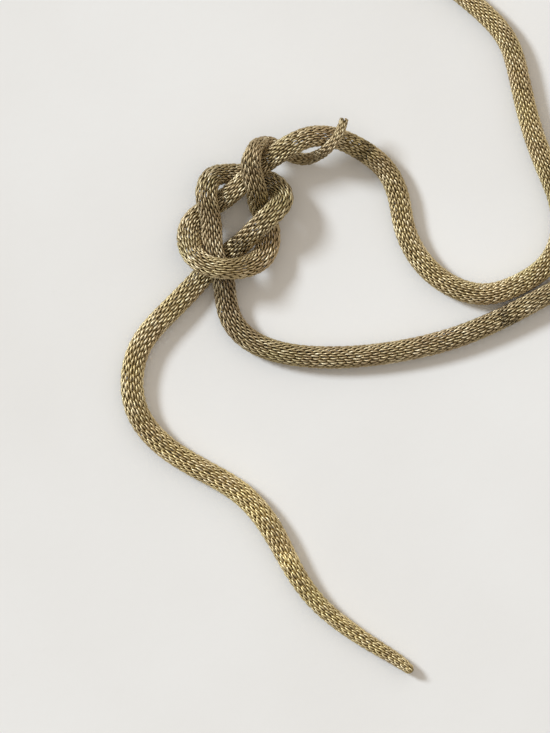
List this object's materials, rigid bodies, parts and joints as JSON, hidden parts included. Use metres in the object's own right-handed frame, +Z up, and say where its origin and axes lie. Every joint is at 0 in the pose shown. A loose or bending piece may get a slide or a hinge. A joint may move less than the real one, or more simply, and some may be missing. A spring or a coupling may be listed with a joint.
{
  "type": "slim tie belt",
  "caption": "Slim tie belt knitted from brass-coloured wire as one long narrow tube with tapered open tips, lying tied in a knot with its waist loop whole.",
  "frame": {"origin": "on the surface that the belt lies on, below the middle of its outline", "axes": "+Z up from the surface, +Y along the longer side of the outline towards the loop, +X along its shorter side towards the loop's far bend"},
  "size_m": [0.2739, 0.4025, 0.0236],
  "materials": {
    "brass_wire": "antique satin wire, darker in the hollows of the stitches"
  },
  "bodies": {
    "root": {"mesh_tube": "brass_wire"}
  },
  "joints": []
}
